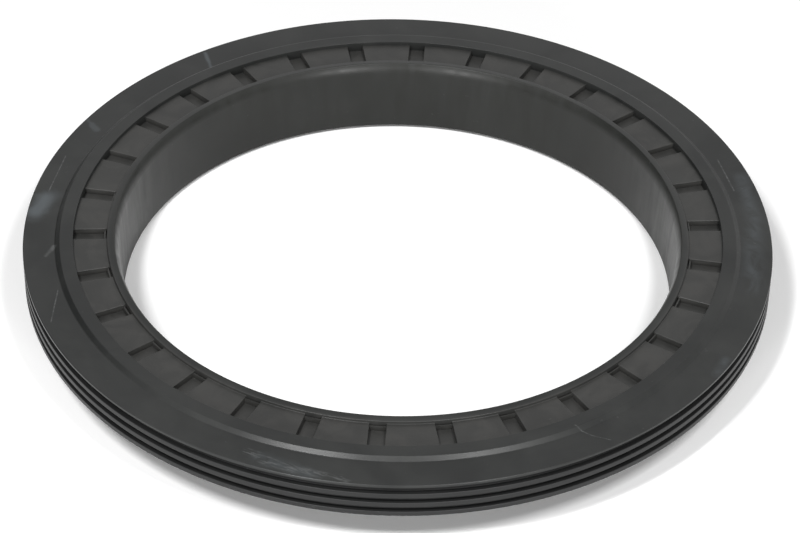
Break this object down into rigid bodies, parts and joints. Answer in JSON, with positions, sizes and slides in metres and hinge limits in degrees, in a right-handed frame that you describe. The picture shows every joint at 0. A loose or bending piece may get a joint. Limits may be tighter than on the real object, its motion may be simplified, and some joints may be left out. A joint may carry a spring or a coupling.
{
  "type": "radial shaft seal",
  "caption": "Round rubber shaft seal with a ribbed press-in seat, a flat flange, a ring of moulded slots and a long sealing lip held by a garter spring.",
  "frame": {"origin": "on the seal's axis, in the plane of the lip head's lower face, on which the seal lies", "axes": "+Z along the axis towards the air side, where the flange and its ring of slots are"},
  "size_m": [0.2, 0.2, 0.0217],
  "materials": {
    "rubber": "matt moulded",
    "spring_steel": "drawn wire"
  },
  "bodies": {
    "root": {"seal_body": "rubber", "garter_spring": "spring_steel"}
  },
  "joints": []
}
